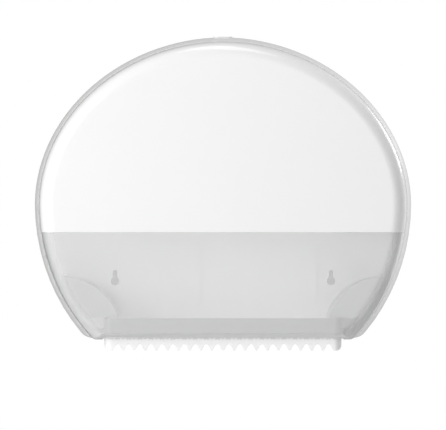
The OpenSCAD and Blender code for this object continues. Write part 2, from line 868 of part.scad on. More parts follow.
module cover_window() {
    color("lightgray") on_wall() difference() {
        cover_half(false);
        // Exit for the paper, behind the front lip
        block([-bar_half - exit_gap, -base_drop - over, rim_d],
            [bar_half + exit_gap, -base_drop + cover_t + over, body_d - front_lip]);
        // Room to swing past the casing's bottom edge
        block([-half_w, -base_drop - over, rim_d], [half_w, hinge_y + play, rim_d + cover_notch]);
        // Room round the casing's outer barrels
        both() block([barrel_x1, -base_drop, rim_d],
            [barrel_end + barrel_room, hinge_y + barrel_r + barrel_room, rim_d + barrel_r + barrel_room]);
    }
}

// The space inside the cover's side walls, less a hair for glue
module cover_room() {
    wall = cover_t + glue_t;
    tub(cover_in + wall, wall, cover_rear, cover_in + cover_taper + wall, wall, round_z);
}

module cover_hinge() {
    arm_top = hinge_y + arm_t / 2;
    difference() {
        union() {
            translate([lug_x1, hinge_y, rim_d]) rotate([0, 90, 0]) cylinder(r = barrel_r, h = lug_w);
            block([lug_x1, hinge_y - arm_t / 2, rim_d], [lug_x1 + lug_w, arm_top, rim_d + arm_reach + over]);
            intersection() {
                block([lug_x1, -base_drop, rim_d + arm_reach],
                    [lug_x1 + lug_w, arm_top, rim_d + arm_reach + block_d]);
                cover_room();
            }
        }
        translate([lug_x1 - over, hinge_y, rim_d]) rotate([0, 90, 0])
            cylinder(r = pin_r + pin_play, h = lug_w + 2 * over);
    }
}
module cover_hinge_left() { color("white") on_wall() mirror([1, 0, 0]) cover_hinge(); }
module cover_hinge_right() { color("white") on_wall() cover_hinge(); }

module cover_catch() {
    color("gray") on_wall() {
        across(-catch_w / 2, catch_w / 2) polygon([
            [barb_rear, arm_high],
            [riser_rear + riser_d, arm_high],
            [riser_rear + riser_d, arm_low],
            [barb_front, arm_low],
            [barb_front, barb_low],
            [barb_front - barb_flat, barb_low],
            [barb_rear, barb_low + barb_slope]]);
        intersection() {
            block([-catch_w / 2, arm_low, riser_rear], [catch_w / 2, crown_h, riser_rear + riser_d]);
            cover_room();
        }
    }
}

// ---- Lock ----

module lock_button() {
    color("whitesmoke") on_wall() {
        upright(flange_top - over, button_top) translate([0, button_out]) stadium(button_w, button_d);
        block([-flange_half, flange_low, button_out - flange_back],
            [flange_half, flange_top, button_out + flange_fore]);
        both() block([leg_x - leg_t, cross_low, button_out - leg_d / 2],
            [leg_x, flange_low + over, button_out + leg_d / 2]);
        block([-leg_x, cross_low, cross_rear], [leg_x, cross_high, cross_rear + cross_t]);
        translate([0, flange_low + over, spring_out]) rotate([90, 0, 0])
            cylinder(r = seat_pin_r, h = seat_pin_h + over, $fn = 32);
    }
}

module lock_housing() {
    color("gray") on_wall() {
        difference() {
            union() {
                block([-housing_half, housing_floor - housing_t, plate_t],
                    [housing_half, housing_floor, housing_depth]);
                both() block([housing_half - housing_t, housing_floor - over, plate_t],
                    [housing_half, housing_top, housing_depth]);
                block([-housing_half - housing_wing, housing_floor - housing_t, plate_t],
                    [housing_half + housing_wing, housing_top, plate_t + housing_t]);
                both() block([leg_x + rib_gap, housing_floor - over, button_out - rib_w / 2],
                    [housing_half - over, rib_top, button_out + rib_w / 2]);
            }
            tap_holes();
        }
        translate([0, housing_floor - over, spring_out]) rotate([-90, 0, 0])
            cylinder(r = seat_pin_r, h = seat_pin_h + over, $fn = 32);
    }
}

module lock_spring() {
    color("silver") on_wall() translate([0, housing_floor, spring_out]) rotate([-90, 0, 0])
        coil(spring_r, spring_wire, spring_turns, flange_low - housing_floor);
}

echo(lock_spring_least_gap_mm = coil_gap(spring_wire, spring_turns, flange_low - housing_floor));
echo(brake_spring_least_gap_mm = coil_gap(brake_wire, brake_turns, brake_gap));

back_plate();
tear_bar();
guide_left();
guide_right();
main_axle();
brake_spring();
brake_ring();
main_hub();
hub_cap();
axle_washer();
axle_screw();
stub_post();
fixing_screws();
hinge_pin_left();
hinge_pin_right();
cover_shell();
cover_window();
cover_hinge_left();
cover_hinge_right();
cover_catch();
lock_housing();
lock_button();
lock_spring();
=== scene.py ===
# %% [markdown]
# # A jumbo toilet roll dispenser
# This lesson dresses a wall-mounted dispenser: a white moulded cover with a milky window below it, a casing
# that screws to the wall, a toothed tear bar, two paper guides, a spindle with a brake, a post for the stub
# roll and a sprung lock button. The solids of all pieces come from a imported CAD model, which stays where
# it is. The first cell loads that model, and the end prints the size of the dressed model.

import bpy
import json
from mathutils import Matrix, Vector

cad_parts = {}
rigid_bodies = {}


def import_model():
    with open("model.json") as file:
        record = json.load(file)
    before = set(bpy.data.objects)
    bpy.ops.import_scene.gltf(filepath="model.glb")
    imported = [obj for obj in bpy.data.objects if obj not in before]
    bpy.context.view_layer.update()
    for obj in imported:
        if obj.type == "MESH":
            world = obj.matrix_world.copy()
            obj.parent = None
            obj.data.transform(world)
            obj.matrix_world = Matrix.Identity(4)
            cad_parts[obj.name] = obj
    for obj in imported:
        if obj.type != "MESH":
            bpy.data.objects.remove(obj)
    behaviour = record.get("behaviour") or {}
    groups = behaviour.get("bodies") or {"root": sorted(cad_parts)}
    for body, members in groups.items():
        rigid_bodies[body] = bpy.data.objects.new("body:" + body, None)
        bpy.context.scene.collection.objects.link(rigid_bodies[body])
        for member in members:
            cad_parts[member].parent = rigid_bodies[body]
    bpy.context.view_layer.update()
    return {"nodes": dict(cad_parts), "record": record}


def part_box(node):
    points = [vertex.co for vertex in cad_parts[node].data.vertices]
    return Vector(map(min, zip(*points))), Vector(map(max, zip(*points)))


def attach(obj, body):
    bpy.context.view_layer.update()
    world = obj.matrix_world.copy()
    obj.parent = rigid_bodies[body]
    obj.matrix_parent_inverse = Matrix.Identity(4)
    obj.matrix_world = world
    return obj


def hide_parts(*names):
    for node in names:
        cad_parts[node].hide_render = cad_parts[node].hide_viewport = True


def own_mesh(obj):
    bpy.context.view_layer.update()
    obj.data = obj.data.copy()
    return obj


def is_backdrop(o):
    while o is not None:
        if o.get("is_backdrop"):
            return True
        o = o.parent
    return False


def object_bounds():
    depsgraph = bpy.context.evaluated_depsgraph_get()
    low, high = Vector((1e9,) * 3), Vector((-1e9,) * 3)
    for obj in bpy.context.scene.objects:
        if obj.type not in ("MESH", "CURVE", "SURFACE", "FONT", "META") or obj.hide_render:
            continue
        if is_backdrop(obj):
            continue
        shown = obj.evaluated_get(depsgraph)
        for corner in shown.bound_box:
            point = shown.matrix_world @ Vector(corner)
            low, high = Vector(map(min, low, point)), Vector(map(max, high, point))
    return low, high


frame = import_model()

# %% Other libraries
import json
import math

import bmesh
import bpy
import numpy as np
from mathutils import Vector

scene = bpy.context.scene

# %% [markdown]
# ## The camera
# The picture is a product shot from several metres away: both sides of the casing show equally
# little. A long lens at six metres gives the same flat perspective. A nearer camera with a short
# lens would make the front look too large against the wall side. The lens follows from the scale of
# the picture at the wall plane.

# %% Camera
picture_w, mm_per_pixel = 446, 1.1622
camera_distance, camera_height = 6.0, -0.0128
camera = bpy.data.cameras.new("camera")
camera.sensor_width = 36.0
camera.lens = 36.0 * camera_distance * 1000 / (picture_w * mm_per_pixel)
camera.clip_start, camera.clip_end = 0.1, 60
camera_object = bpy.data.objects.new("camera", camera)
scene.collection.objects.link(camera_object)
camera_object.location = (0, -camera_distance, camera_height)
camera_object.rotation_euler = (math.radians(90), 0, 0)
scene.camera = camera_object
print("lens, mm:", round(camera.lens, 1))

# %% [markdown]
# ## The outline
# Seen from the front the dispenser is an upper half-ellipse on a wider lower one, cut off by a flat
# bottom with two round corners. The shape could be traced by hand, but two ellipses and an arc give
# it from six sizes, and every inner or tapered ring is the same curve moved inwards. All sizes here
# are millimetres in wall coordinates: across, up, and out from the wall.

# %% Sizes of the body
body_w, crown_h, top_curve, lower_r = 437.0, 193.5, 1.957, 227.0
base_drop, corner_r, body_d = 154.8, 16.0, 133.0
half_w, least_r = body_w / 2, 0.8


# %% Outline curves
def corner_turn(a, c, r, b):
    """Angle on the lower ellipse at which the corner arc takes over, by halving."""
    low, high = 0.0, math.radians(89)
    for _ in range(40):
        mid = (low + high) / 2
        lean = math.hypot(math.cos(mid) / a, math.sin(mid) / c)
        short = b - r - c * math.sin(mid) + r * (math.sin(mid) / c) / lean
        low, high = (mid, high) if short > 0 else (low, mid)
    return low


def lower_right(d, db, start, sides=36, corner=20):
    """Right-hand lower side, from an angle on the ellipse down to the flat bottom."""
    a, c, r = half_w - d, lower_r - d, max(corner_r - d, least_r)
    turn = corner_turn(a, c, r, base_drop - db)
    begin = math.atan2(-math.sin(turn) / c, math.cos(turn) / a)
    middle_x, middle_y = a * math.cos(turn) - r * math.cos(begin), -c * math.sin(turn) - r * math.sin(begin)
    side = [(a * math.cos(t), -c * math.sin(t)) for t in np.linspace(start, turn, sides + 1)]
    arc = [(middle_x + r * math.cos(q), middle_y + r * math.sin(q))
           for q in np.linspace(begin, -math.pi / 2, corner + 1)[1:]]
    return side + arc


def fuller(value):
    """Bends a sine or cosine, so that the upper curve is a little fuller or flatter than an ellipse."""
    return math.copysign(abs(value) ** (2 / top_curve), value)


def upper_half(d, steps=180):
    """Upper curve, from right to left."""
    return [((half_w - d) * fuller(math.cos(t)), (crown_h - d) * fuller(math.sin(t)))
            for t in np.linspace(0, math.pi, steps + 1)]


def mirrored(points):
    """The same points on the other side of the middle."""
    return [(-x, y) for x, y in points]


print("widest line to flat bottom, mm:", base_drop, "- corner starts at degrees:",
      round(math.degrees(corner_turn(half_w, lower_r, corner_r, base_drop)), 1))

# %% [markdown]
# ## From points to pieces
# A moulded wall is a skin with a thickness, so most pieces here are grids of points joined by
# four-sided faces: rows that step round an edge, columns that run along the outline. Modelling with
# primitives and sculpting would be quicker for a stand-in, but a grid keeps the wall even and the
# shading smooth. The helpers turn wall coordinates into metres, close the skin and round its sharp
# edges with a bevel, as a mould does.

# %% Mesh helpers
def to_metres(points):
    """Wall coordinates in millimetres to the model's own frame in metres."""
    return [(x / 1000, -out / 1000, up / 1000) for x, up, out in points]


def new_piece(name, points, faces, second=()):
    """A mesh object from wall coordinates, with its faces looking outwards.
    second lists the faces that get the piece's second finish."""
    mesh = bpy.data.meshes.new(name)
    mesh.from_pydata(to_metres(points), [], faces)
    for index in second:
        mesh.polygons[index].material_index = 1
    tidy = bmesh.new()
    tidy.from_mesh(mesh)
    bmesh.ops.remove_doubles(tidy, verts=tidy.verts, dist=1e-7)
    bmesh.ops.dissolve_degenerate(tidy, edges=tidy.edges, dist=1e-7)
    bmesh.ops.recalc_face_normals(tidy, faces=tidy.faces)
    tidy.to_mesh(mesh)
    tidy.free()
    mesh.shade_smooth()
    piece = bpy.data.objects.new(name, mesh)
    scene.collection.objects.link(piece)
    return piece


def grid(rows, columns, start=0, closed=False):
    """Four-sided faces between the points of neighbouring rows."""
    faces = []
    for r in range(rows - 1):
        for c in range(columns if closed else columns - 1):
            a, b = start + r * columns + c, start + r * columns + (c + 1) % columns
            faces.append((a, b, b + columns, a + columns))
    return faces


def settle(piece):
    """Makes the modifiers' result the piece's own mesh."""
    shape = piece.evaluated_get(bpy.context.evaluated_depsgraph_get())
    mesh = bpy.data.meshes.new_from_object(shape)
    piece.modifiers.clear()
    piece.data = mesh
    return piece


def round_edges(piece, width, angle=35):
    """Rounds each edge that is sharper than an angle, and keeps the faces beside it flat.
    width is in millimetres."""
    bevel = piece.modifiers.new("round edges", "BEVEL")
    bevel.width = width / 1000
    bevel.segments = 2
    bevel.limit_method = "ANGLE"
    bevel.angle_limit = math.radians(angle)
    bevel.miter_outer = "MITER_ARC"
    even = piece.modifiers.new("even normals", "WEIGHTED_NORMAL")
    even.keep_sharp = True
    return piece


def cut_away(piece, *boxes):
    """Cuts blocks out of a piece, each from a low and a high corner in wall coordinates."""
    for low, high in boxes:
        corners = [(x, y, z) for z in (low[2], high[2])
                   for y in (low[1], high[1]) for x in (low[0], high[0])]
        faces = [(0, 1, 3, 2), (4, 6, 7, 5), (0, 4, 5, 1), (2, 3, 7, 6), (0, 2, 6, 4), (1, 5, 7, 3)]
        tool = new_piece("tool", corners, faces)
        cut = piece.modifiers.new("cut", "BOOLEAN")
        cut.object, cut.operation, cut.solver = tool, "DIFFERENCE", "EXACT"
        settle(piece)
        bpy.data.objects.remove(tool)
    return piece


def wear(piece, body, slot, material, *nodes, second=None):
    """Gives a piece its body, finish and the CAD nodes that it stands for."""
    if second is None:
        piece.data.materials.clear()
    for finish in (material, second or material):
        piece.data.materials.append(finish)
    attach(piece, body)
    if nodes:
        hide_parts(*nodes)
    print(piece.name, "faces:", len(piece.data.polygons), "body:", body)
    return piece


# %% [markdown]
# ## Effects that several finishes share
# Injection-moulded plastic is never one flat tone. The surface has a fine spark-eroded grain from
# the mould, and it is a little glossier where the melt cooled slowly. Both are worked out once, as
# a node group with its own values in each material. Image textures would need a layout of the
# surface, and noise in the object's own space doesn't.

# %% Group for moulded plastic
def new_group(name, inputs, outputs):
    """An empty shader node group with named sockets, given as (name, kind, start value)."""
    group = bpy.data.node_groups.new(name, "ShaderNodeTree")
    for label, kind, value in inputs:
        socket = group.interface.new_socket(name=label, in_out="INPUT", socket_type=kind)
        socket.default_value = value
    for label, kind in outputs:
        group.interface.new_socket(name=label, in_out="OUTPUT", socket_type=kind)
    return group, group.nodes.new("NodeGroupInput"), group.nodes.new("NodeGroupOutput")


def noise(group, place, scale, detail):
    """A noise texture in the object's own space. scale is cells per metre."""
    node = group.nodes.new("ShaderNodeTexNoise")
    node.inputs["Detail"].default_value = detail
    group.links.new(place.outputs["Object"], node.inputs["Vector"])
    if isinstance(scale, bpy.types.NodeSocket):
        group.links.new(scale, node.inputs["Scale"])
    else:
        node.inputs["Scale"].default_value = scale
    return node


def maths(group, operation, a, b):
    """A Math node whose inputs are sockets or numbers."""
    node = group.nodes.new("ShaderNodeMath")
    node.operation = operation
    for socket, value in zip(node.inputs, (a, b)):
        if isinstance(value, bpy.types.NodeSocket):
            group.links.new(value, socket)
        else:
            socket.default_value = value
    return node.outputs[0]


def mix_colour(group, share, a, b):
    """A colour between a and b."""
    node = group.nodes.new("ShaderNodeMix")
    node.data_type = "RGBA"
    for value, label in ((share, "Factor"), (a, "A"), (b, "B")):
        socket = node.inputs[label]
        if isinstance(value, bpy.types.NodeSocket):
            group.links.new(value, socket)
        else:
            socket.default_value = value
    return node.outputs["Result"]


COLOUR, FLOAT = "NodeSocketColor", "NodeSocketFloat"
moulded, inside, outside = new_group(
    "moulded plastic",
    [("Colour", COLOUR, (0.8, 0.8, 0.8, 1)), ("Cloud", FLOAT, 0.02), ("Gloss", FLOAT, 0.35),
     ("Gloss spread", FLOAT, 0.08), ("Grain per metre", FLOAT, 2500.0)],
    [("Colour", COLOUR), ("Roughness", FLOAT), ("Height", FLOAT)])
space = moulded.nodes.new("ShaderNodeTexCoord")
clouds_per_metre, patches_per_metre = 14.0, 60.0
cloud = noise(moulded, space, clouds_per_metre, 3.0)
fine = noise(moulded, space, inside.outputs["Grain per metre"], 1.0)
patch = noise(moulded, space, patches_per_metre, 4.0)
stain, stain_share = (0.45, 0.45, 0.42, 1), 0.25
darker = mix_colour(moulded, stain_share, inside.outputs["Colour"], stain)
share = maths(moulded, "MULTIPLY", cloud.outputs["Fac"], inside.outputs["Cloud"])
moulded.links.new(mix_colour(moulded, share, inside.outputs["Colour"], darker), outside.inputs["Colour"])
around_zero = maths(moulded, "SUBTRACT", patch.outputs["Fac"], 0.5)
spread = maths(moulded, "MULTIPLY", around_zero, inside.outputs["Gloss spread"])
moulded.links.new(maths(moulded, "ADD", inside.outputs["Gloss"], spread), outside.inputs["Roughness"])
moulded.links.new(fine.outputs["Fac"], outside.inputs["Height"])
print("group:", moulded.name, "nodes:", len(moulded.nodes))

# %% [markdown]
# A dispenser in use gathers dust on what faces up and gets dull hairlines where cloths and hands
# pass. The mask below is strongest on upward faces, broken up by noise. It could be painted by
# hand, but the normal already says which faces look up.

# %% Group for dust and wiping marks
dusty, dust_in, dust_out = new_group(
    "dust and wiping",
    [("Colour", COLOUR, (0.8, 0.8, 0.8, 1)), ("Dust", FLOAT, 0.1), ("Marks", FLOAT, 0.1)],
    [("Colour", COLOUR), ("Dullness", FLOAT)])
specks_per_metre, line_share, dust_colour = 220.0, 0.68, (0.52, 0.50, 0.46, 1)
dust_space = dusty.nodes.new("ShaderNodeTexCoord")
facing = dusty.nodes.new("ShaderNodeSeparateXYZ")
dusty.links.new(dust_space.outputs["Normal"], facing.inputs["Vector"])
up = maths(dusty, "MAXIMUM", facing.outputs["Z"], 0.0)
speck = noise(dusty, dust_space, specks_per_metre, 5.0)
broken_up = maths(dusty, "MULTIPLY", up, speck.outputs["Fac"])
layer = maths(dusty, "MULTIPLY", broken_up, dust_in.outputs["Dust"])
stretch = dusty.nodes.new("ShaderNodeMapping")
stretch.inputs["Scale"].default_value = (30.0, 30.0, 900.0)
stretch.inputs["Rotation"].default_value = (0.0, 0.5, 0.0)
dusty.links.new(dust_space.outputs["Object"], stretch.inputs["Vector"])
lines = dusty.nodes.new("ShaderNodeTexNoise")
lines.inputs["Scale"].default_value = 1.0
dusty.links.new(stretch.outputs["Vector"], lines.inputs["Vector"])
on_line = maths(dusty, "GREATER_THAN", lines.outputs["Fac"], line_share)
hairlines = maths(dusty, "MULTIPLY", on_line, dust_in.outputs["Marks"])
dusty.links.new(mix_colour(dusty, layer, dust_in.outputs["Colour"], dust_colour), dust_out.inputs["Colour"])
dusty.links.new(maths(dusty, "ADD", layer, hairlines), dust_out.inputs["Dullness"])
print("group:", dusty.name, "nodes:", len(dusty.nodes))


# %% [markdown]
# ## Plastics
# All plastics share those groups. The outer white parts are glossy, the window is milky, and the inner
# parts are grey. Each material sets its own colour and gloss, and the Principled shader stays in the
# material. The tear bar is coloured darker above its teeth: this is painted shade on the part behind the
# window, which reads as a darker band.

# %% Plastic materials
def plastic(name, colour, gloss, cloud=0.3, dust=0.05, marks=0.03, grain=2500.0, height=0.000003):
    """Moulded plastic. colour is linear red, green and blue, gloss the mean roughness and height the
    grain's depth in metres."""
    material = bpy.data.materials.new(name)
    material.use_nodes = True
    tree = material.node_tree
    shader = tree.nodes["Principled BSDF"]
    shader.inputs["IOR"].default_value = 1.5
    surface = tree.nodes.new("ShaderNodeGroup")
    surface.node_tree = moulded
    surface.inputs["Colour"].default_value = (*colour, 1)
    surface.inputs["Cloud"].default_value = cloud
    surface.inputs["Gloss"].default_value = gloss
    surface.inputs["Grain per metre"].default_value = grain
    dust_node = tree.nodes.new("ShaderNodeGroup")
    dust_node.node_tree = dusty
    dust_node.inputs["Dust"].default_value = dust
    dust_node.inputs["Marks"].default_value = marks
    bump = tree.nodes.new("ShaderNodeBump")
    bump.inputs["Distance"].default_value = height
    bump.inputs["Strength"].default_value = 1.0
    tree.links.new(surface.outputs["Colour"], dust_node.inputs["Colour"])
    tree.links.new(dust_node.outputs["Colour"], shader.inputs["Base Color"])
    rough = maths(tree, "ADD", surface.outputs["Roughness"], dust_node.outputs["Dullness"])
    tree.links.new(rough, shader.inputs["Roughness"])
    tree.links.new(surface.outputs["Height"], bump.inputs["Height"])
    tree.links.new(bump.outputs["Normal"], shader.inputs["Normal"])
    return material


cover_white = plastic("cover white", (0.87, 0.87, 0.87), 0.14, cloud=0.1)
casing_white = plastic("casing white", (0.88, 0.88, 0.88), 0.22, cloud=0.1)
window_grey = plastic("window grey", (0.80, 0.802, 0.804), 0.12, cloud=0.1)
window_inside = plastic("window inside", (0.80, 0.802, 0.804), 0.20, cloud=0.1)
guide_grey = plastic("guide grey", (0.64, 0.642, 0.645), 0.35)
# Painted shade: a darker grey for the tear bar's part behind the window.
bar_painted_shade = plastic("tear bar painted shade", (0.53, 0.532, 0.535), 0.30)
spindle_grey = plastic("spindle grey", (0.42, 0.425, 0.43), 0.40)
dark_grey = plastic("dark grey", (0.10, 0.102, 0.105), 0.45)
button_grey = plastic("button grey", (0.80, 0.803, 0.805), 0.20)
print("plastics:", [m.name for m in bpy.data.materials])


# %% [markdown]
# The window is see-through and milky. Each skin hides a share of what lies behind it. Where it
# turns away from the front it hides more and looks deeper in colour, because there one looks along
# the plastic. The direction is taken in the room, so an open cover shows its window denser than a
# closed one. Plain alpha weakens the reflections together with the body, so the specular level is
# doubled and a coat adds the second surface. Refraction would also do, but then hardly any light
# would find its way inside. A skin stays at about a quarter: in trials with denser ones the noise
# filter smeared what lay behind them.
#
# The white plastics are solid to the camera and in reflections, but let part of the light through.
# Thin white mouldings do glow a little; the share here is larger, to bring the inside up to the
# picture's tone.

# %% See-through finishes
turn_gain, deep_tint, light_through = 2.0, (0.60, 0.602, 0.604, 1), 0.70


def light_rays(tree):
    """1 for rays that only carry light, 0 for those that show a surface to the camera or a mirror."""
    path = tree.nodes.new("ShaderNodeLightPath")
    return maths(tree, "ADD", path.outputs["Is Shadow Ray"], path.outputs["Is Diffuse Ray"])


def see_through(material, density, edge):
    """Makes a plastic see-through. density is the share that it hides square on, and edge the share
    where it is turned away."""
    tree = material.node_tree
    shader = tree.nodes["Principled BSDF"]
    shader.inputs["Specular IOR Level"].default_value = 1.0
    shader.inputs["Coat Weight"].default_value = 1.0
    shader.inputs["Coat Roughness"].default_value = 0.08
    place = tree.nodes.new("ShaderNodeNewGeometry")
    parts = tree.nodes.new("ShaderNodeSeparateXYZ")
    tree.links.new(place.outputs["True Normal"], parts.inputs[0])
    square = maths(tree, "ABSOLUTE", parts.outputs["Y"], 0.0)
    away = maths(tree, "MULTIPLY", maths(tree, "SUBTRACT", 1.0, square), turn_gain)
    turned = maths(tree, "MINIMUM", away, 1.0)
    colour = shader.inputs["Base Color"].links[0].from_socket
    tree.links.new(mix_colour(tree, turned, colour, deep_tint), shader.inputs["Base Color"])
    seen = maths(tree, "SUBTRACT", 1.0, light_rays(tree))
    share = maths(tree, "MULTIPLY", maths(tree, "MULTIPLY", turned, seen), edge - density)
    tree.links.new(maths(tree, "ADD", share, density), shader.inputs["Alpha"])


def glow(material, share):
    """Lets a share of the light through a white plastic, which stays solid to the camera."""
    tree = material.node_tree
    alpha = maths(tree, "SUBTRACT", 1.0, maths(tree, "MULTIPLY", light_rays(tree), share))
    tree.links.new(alpha, tree.nodes["Principled BSDF"].inputs["Alpha"])


see_through(window_grey, density=0.25, edge=0.86)
see_through(window_inside, density=0.25, edge=0.40)
for white_plastic in (cover_white, casing_white):
    glow(white_plastic, light_through)
print("see-through:", window_grey.name, window_inside.name)

# %% [markdown]
# ## Rubber and steel
# The brake ring is black rubber: dark, dull and slightly mottled. Screws, pins, washer and springs
# are zinc-plated steel. Their finish is a metal whose roughness changes in small patches, which
# reads as plating at this size; a brushed direction would be wrong on turned and rolled parts.

# %% Rubber and steel materials
brake_black = plastic("brake black", (0.022, 0.022, 0.023), 0.75, cloud=0.6, dust=0.25, marks=0.0,
                      grain=1600.0, height=0.00004)


def metal(name, colour, rough, spread):
    """Plated steel, with patches of different gloss."""
    material = bpy.data.materials.new(name)
    material.use_nodes = True
    tree = material.node_tree
    shader = tree.nodes["Principled BSDF"]
    shader.inputs["Metallic"].default_value = 1.0
    surface = tree.nodes.new("ShaderNodeGroup")
    surface.node_tree = moulded
    surface.inputs["Colour"].default_value = (*colour, 1)
    surface.inputs["Cloud"].default_value = 0.5
    surface.inputs["Gloss"].default_value = rough
    surface.inputs["Gloss spread"].default_value = spread
    surface.inputs["Grain per metre"].default_value = 1800.0
    bump = tree.nodes.new("ShaderNodeBump")
    bump.inputs["Distance"].default_value = 0.000006
    tree.links.new(surface.outputs["Colour"], shader.inputs["Base Color"])
    tree.links.new(surface.outputs["Roughness"], shader.inputs["Roughness"])
    tree.links.new(surface.outputs["Height"], bump.inputs["Height"])
    tree.links.new(bump.outputs["Normal"], shader.inputs["Normal"])
    return material


steel = metal("steel", (0.62, 0.61, 0.59), 0.30, 0.18)
print("metal:", steel.name)

# %% [markdown]
# ## The cover and its window
# The cover is one bowl in two plastics: white above, milky grey below, joined on a level line. Each
# half is lofted: its rows step forward along the side wall, round the front edge on a quarter
# ellipse, and then shrink over the slightly bulging front towards the middle of the joint line, so
# both halves meet exactly on that line. A subdivision cage could give the same bowl, but the rows
# keep the real radii.

# %% Sizes of the cover
rim_d, seam = 50.0, 0.3
cover_in, side_draft, cover_t = 5.8, 3.2, 2.8
edge_across, edge_deep, low_edge = 17.2, 22.8, 8.5
crown, split_drop = 2.2, 32.4
face_in = cover_in + side_draft + edge_across
round_z = body_d - crown - edge_deep
shrink = (0.985, 0.96, 0.92, 0.86, 0.78, 0.68, 0.57, 0.46, 0.35, 0.24, 0.14, 0.06)
print("flat of the front starts, mm from the outline:", round(face_in, 1))


# %% Both halves of the cover
def split_angle(d):
    """Angle on the lower ellipse at which the joint line meets an outline drawn in by d."""
    return math.asin(split_drop / (lower_r - d))


def upper_arc(d, db):
    """The outline above the joint line, from right to left. The bottom's own inset db doesn't reach it."""
    low = [((half_w - d) * math.cos(t), -(lower_r - d) * math.sin(t))
           for t in np.linspace(split_angle(d), 0, 13)[:-1]]
    return low + upper_half(d) + mirrored(low)[::-1]


def lower_arc(d, db):
    """The outline below the joint line, from left to right."""
    right = lower_right(d, db, split_angle(d))
    flat = right[-1][0]
    bottom = [(x, right[-1][1]) for x in np.linspace(-flat, flat, 26)[1:-1]]
    return mirrored(right) + bottom + right[::-1]


def skin(arc, wall):
    """Rows of one skin of a cover half, from its rear edge to the middle of the front."""
    rows = [(cover_in + wall + side_draft * s, wall, rim_d + seam + (round_z - rim_d - seam) * s)
            for s in np.linspace(0, 1, 9)[:-1]]
    rows += [(face_in - (edge_across - wall) * math.cos(q), low_edge - (low_edge - wall) * math.cos(q),
              round_z + (edge_deep - wall) * math.sin(q))
             for q in np.linspace(0, math.pi / 2, 19)]
    points = [[(x, y, z) for x, y in arc(d, db)] for d, db, z in rows]
    rim = arc(face_in, low_edge)
    for k in shrink:
        bulge = body_d - crown * k * k - wall
        points.append([(x * k, -split_drop + (y + split_drop) * k, bulge) for x, y in rim])
    return points, (0, -split_drop, body_d - wall)


def cover_half(name, arc):
    """A wall between the two skins, closed along the rear edge and the joint line."""
    outer, outer_tip = skin(arc, 0)
    inner, inner_tip = skin(arc, cover_t)
    rows, columns = len(outer), len(outer[0])
    base = rows * columns
    points = [p for row in outer + inner for p in row] + [outer_tip, inner_tip]
    tips = (2 * base, 2 * base + 1)
    faces = grid(rows, columns)
    last = (rows - 1) * columns
    for c in range(columns - 1):
        faces.append((last + c, last + c + 1, tips[0]))
        faces.append((c + 1, c, base + c, base + c + 1))
    outside_faces = len(faces)
    faces += [tuple(reversed(f)) for f in grid(rows, columns, base)]
    for c in range(columns - 1):
        faces.append((base + last + c + 1, base + last + c, tips[1]))
    inner_faces = range(outside_faces, len(faces))
    for c in (0, columns - 1):
        for r in range(rows - 1):
            a, b = r * columns + c, (r + 1) * columns + c
            faces.append((a, b, base + b, base + a))
        faces.append((last + c, tips[0], tips[1], base + last + c))
    return new_piece(name, points, faces, inner_faces)


cover = round_edges(cover_half("cover_upper", upper_arc), 0.35)
wear(cover, "cover", "cover_white", cover_white, "cover_shell")

# %% [markdown]
# The window is open below for the paper, and its rear edge is cut back so that it can swing past
# the casing and its hinge barrels. All are plain cuts with blocks, as a side action in the mould
# would leave them. Its inner skin has a finish of its own.

# %% The window's openings
bar_half, barrel_end, hinge_up = 135.31, 150.31, -148.8
under, floor_top, lip_back = -160, -151, body_d - 13.5
bar_room, swing_room, barrel_room = 2.5, 7.5, 5.8
barrel_from, barrel_to = bar_half + 1.1, barrel_end + 0.6
behind_rim, above_barrel = rim_d - 1, hinge_up + barrel_room
window = cover_half("cover_window_skin", lower_arc)
cut_away(window,
         ((-bar_half - bar_room, under, rim_d), (bar_half + bar_room, floor_top, lip_back)),
         ((-half_w, under, behind_rim), (half_w, hinge_up + seam, rim_d + swing_room)),
         ((barrel_from, under, behind_rim), (barrel_to, above_barrel, rim_d + barrel_room)),
         ((-barrel_to, under, behind_rim), (-barrel_from, above_barrel, rim_d + barrel_room)))
round_edges(window, 0.3)
wear(window, "cover", "window_grey", window_grey, "cover_window", second=window_inside)

# %% [markdown]
# ## The tear bar
# The tear bar is a channel that stands out from the wall plate: two sides, rounded front corners,
# and a lower edge of twenty arches whose tips cut the paper. It is built as a curtain. Each column
# hangs at one place along the plan, from the straight top down to the toothed edge, and the wall
# behind the teeth thins to a blade. Cutting twenty arches out of a block would give the same front
# but a blunt edge.

# %% Sizes of the tear bar
bar_front, bar_t, plate_t = body_d - 18.0, 2.2, 3.0
bar_top, bar_low, bar_corner_r = -130.4, -167.3, 9.0
arches, tooth_pitch, tooth_h, arch_r, tip_w = 20, 12.651, 7.2, 2.6, 1.5
ear_r, edge_t, bevel_h, join_gap, hair = 6.0, 0.8, 8.0, 0.2, 0.01
levels = (0.0, 0.35, 0.645, 0.8, 0.9, 0.96, 1.0)


# %% Lower edge of the bar
def arch_points(steps=12):
    """One arch between two teeth: straight flanks that run into a round top."""
    foot, rise = (tooth_pitch - tip_w) / 2, tooth_h - arch_r
    lean = math.atan2(rise, foot) + math.asin(arch_r / math.hypot(foot, rise))
    start = math.pi / 2 - lean
    arc = [(arch_r * math.cos(a), rise + arch_r * math.sin(a))
           for a in np.linspace(math.pi - start, start, steps)]
    return [(-foot, 0.0)] + arc + [(foot, 0.0)]


edge_x, edge_y = [], []
for i in range(arches):
    for x, y in arch_points():
        edge_x.append((i - (arches - 1) / 2) * tooth_pitch + x)
        edge_y.append(bar_low + y)
ear = [(bar_half - ear_r + ear_r * math.cos(a), bar_low + ear_r + ear_r * math.sin(a))
       for a in np.linspace(-math.pi / 2, 0, 10)]
lower_x = [-x for x, _ in ear[::-1]] + edge_x + [x for x, _ in ear]
lower_y = [y for _, y in ear[::-1]] + edge_y + [y for _, y in ear]
print("tooth pitch, mm:", tooth_pitch, "tips:", arches + 1)


